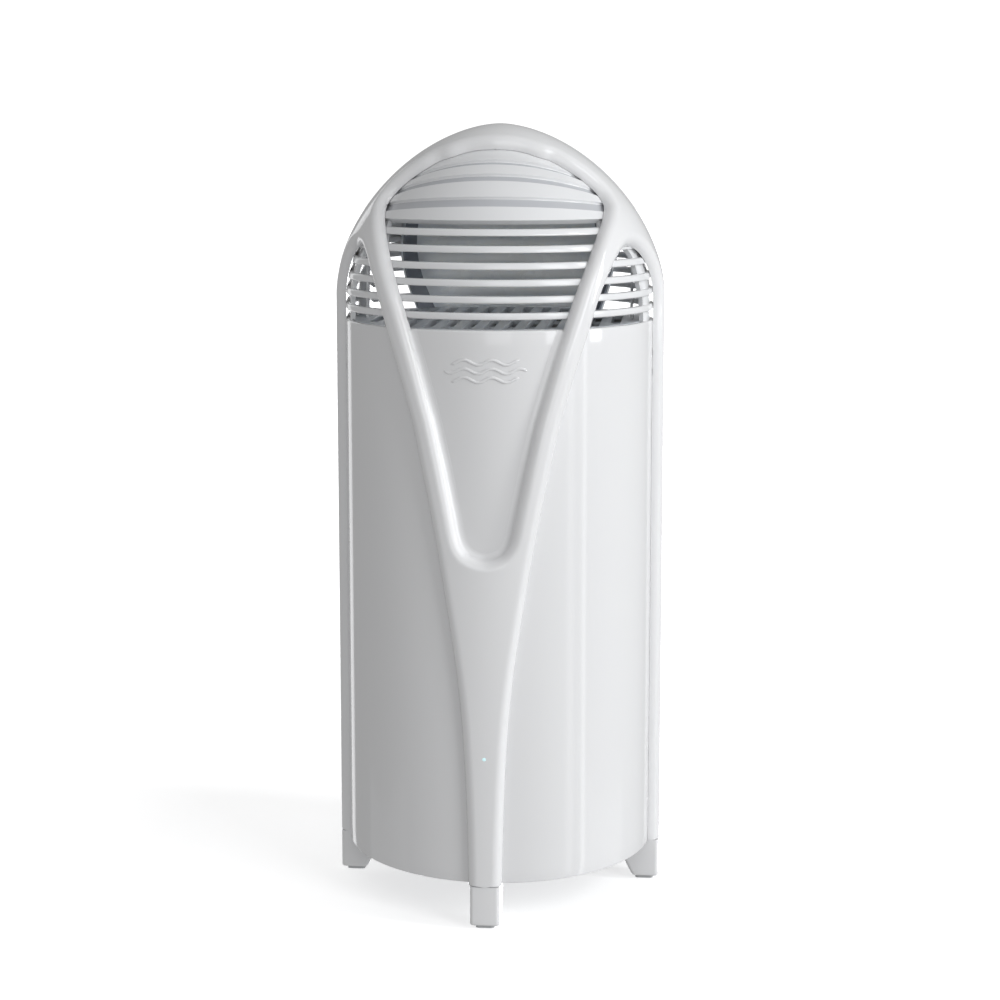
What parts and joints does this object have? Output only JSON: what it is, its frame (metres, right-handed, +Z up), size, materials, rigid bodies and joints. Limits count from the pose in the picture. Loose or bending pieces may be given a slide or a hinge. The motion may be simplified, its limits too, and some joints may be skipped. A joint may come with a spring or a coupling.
{
  "type": "air purifier",
  "caption": "Fan-less tabletop air purifier: smooth white cylinder in a raised frame on feet, louvred dome on top, heated core inside, rear inlet and rocker.",
  "frame": {"origin": "on the floor, under the middle of the round body", "axes": "+Z up, the front with the light points to -Y, +X is to the right seen from the front"},
  "size_m": [0.1244, 0.1244, 0.29],
  "materials": {
    "white_shell": "glossy white moulded plastic with a faint orange-peel texture",
    "grey_inner": "satin light grey heat-resistant plastic",
    "pad_rubber": "soft pale grey rubber",
    "screw_steel": "zinc-plated steel",
    "core_ceramic": "unglazed technical ceramic",
    "heater_alloy": "heat-tinted resistance alloy",
    "mineral_wool": "pressed mineral wool",
    "shield_aluminium": "rolled aluminium",
    "contact_brass": "nickelled brass",
    "board_green": "solder-masked board",
    "component_dark": "moulded components",
    "black_plastic": "fine-textured black plastic",
    "wire_skin": "heat-resistant wire insulation",
    "light_clear": "clear polished acrylic lit from behind, pale cyan",
    "lamp_cyan": "lit diode, pale cyan"
  },
  "bodies": {
    "housing": {"outer_frame": "white_shell", "body_shell": "white_shell", "dome_grille": "white_shell", "rear_shield": "grey_inner", "deck_grille": "grey_inner", "base_plate": "grey_inner", "foot_screws": "screw_steel", "core_stand": "screw_steel", "stand_screws": "screw_steel", "ceramic_core": "core_ceramic", "heater_wires": "heater_alloy", "core_cap_lower": "core_ceramic", "core_cap_upper": "core_ceramic", "insulation_sleeve": "mineral_wool", "heat_shield": "shield_aluminium", "core_retainer": "screw_steel", "tie_rods": "screw_steel", "rod_nuts": "screw_steel", "thermal_fuse": "contact_brass", "fuse_clip": "screw_steel", "control_board": "board_green", "board_screws": "screw_steel", "transformer": "component_dark", "capacitors": "component_dark", "terminal_block": "component_dark", "rear_panel": "white_shell", "inlet_socket": "black_plastic", "inlet_pins": "contact_brass", "switch_case": "black_plastic", "switch_terminals": "contact_brass", "light_pipe": "light_clear", "led_holder": "grey_inner", "status_led": "lamp_cyan", "led_board": "board_green", "mains_wires": "wire_skin", "switch_wires": "wire_skin", "heater_leads": "wire_skin", "led_wires": "wire_skin", "foot_front": "white_shell", "foot_pad_front": "pad_rubber", "foot_right": "white_shell", "foot_pad_right": "pad_rubber", "foot_rear": "white_shell", "foot_pad_rear": "pad_rubber", "foot_left": "white_shell", "foot_pad_left": "pad_rubber"},
    "rocker": {"switch_rocker": "black_plastic"}
  },
  "joints": [
    {"name": "rocker_tilt", "type": "hinge", "parent": "housing", "child": "rocker", "pos_m": [0, 0.0562, 0.0615], "axis": [-1, 0, 0], "range_deg": [0, 16]}
  ]
}
